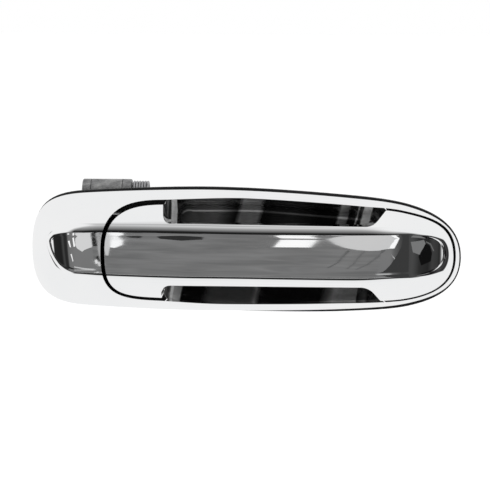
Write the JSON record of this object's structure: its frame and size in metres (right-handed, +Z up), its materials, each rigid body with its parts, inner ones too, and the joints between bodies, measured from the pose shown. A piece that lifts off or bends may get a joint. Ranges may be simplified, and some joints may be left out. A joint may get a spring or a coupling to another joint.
{
  "type": "exterior car door handle",
  "caption": "Pull-type outside door handle: chromed bezel with finger recess, hinged pull grip with a flat centre band, and a bellcrank with counterweight behind.",
  "frame": {"origin": "centre of the footprint on the outer face of the door skin, where the gasket bears", "axes": "+X towards the hinge end, +Z up, -Y outwards from the door, so +Y points into the door"},
  "size_m": [0.2211, 0.069, 0.0656],
  "materials": {
    "chrome": "bright decorative chrome plate",
    "dark_chrome": "dark smoked plate, glossy",
    "black_nylon": "glass-filled nylon, fine moulding texture",
    "black_rubber": "matt sheet rubber",
    "cast_zinc": "bare die-cast zinc, slightly mottled",
    "plated_steel": "clear zinc plate",
    "spring_steel": "drawn wire, oiled",
    "natural_acetal": "natural off-white acetal"
  },
  "bodies": {
    "base": {"bezel": "chrome", "finger_bowl": "dark_chrome", "chassis": "black_nylon", "gasket": "black_rubber", "bumper_upper": "black_rubber", "bumper_lower": "black_rubber", "hinge_pin": "plated_steel", "hinge_pin_clip": "spring_steel", "bellcrank_pin": "plated_steel", "bellcrank_pin_clip": "spring_steel", "return_spring": "spring_steel", "bezel_screw_1": "plated_steel", "bezel_screw_2": "plated_steel", "bowl_screw_1": "plated_steel", "bowl_screw_2": "plated_steel", "stud_rear": "plated_steel", "stud_front": "plated_steel"},
    "handle": {"grip_cover": "chrome", "grip_core": "black_nylon", "grip_screw_1": "plated_steel", "grip_screw_2": "plated_steel"},
    "crank": {"bellcrank": "cast_zinc", "counterweight": "cast_zinc", "counterweight_rivet_1": "plated_steel", "counterweight_rivet_2": "plated_steel"},
    "rod_link": {"rod_clip": "natural_acetal"}
  },
  "joints": [
    {"name": "handle_pull", "type": "hinge", "parent": "base", "child": "handle", "pos_m": [0.09, -0.005, 0], "axis": [0, 0, 1], "range_deg": [0, 9.5]},
    {"name": "bellcrank_turn", "type": "hinge", "parent": "base", "child": "crank", "pos_m": [-0.072, 0.02, 0.025], "axis": [-1, 0, 0], "range_deg": [0, 58.5], "stiffness_Nm_per_rad": 0.12, "springref_deg": -34.38},
    {"name": "rod_clip_swivel", "type": "hinge", "parent": "crank", "child": "rod_link", "pos_m": [-0.08, 0.03601, 0.01898], "axis": [1, 0, 0], "range_deg": [-10, 62]}
  ],
  "couplings": [
    {"joint": "bellcrank_turn", "follows": "handle_pull", "ratio": 6.1},
    {"joint": "rod_clip_swivel", "follows": "handle_pull", "ratio": 6.1}
  ]
}
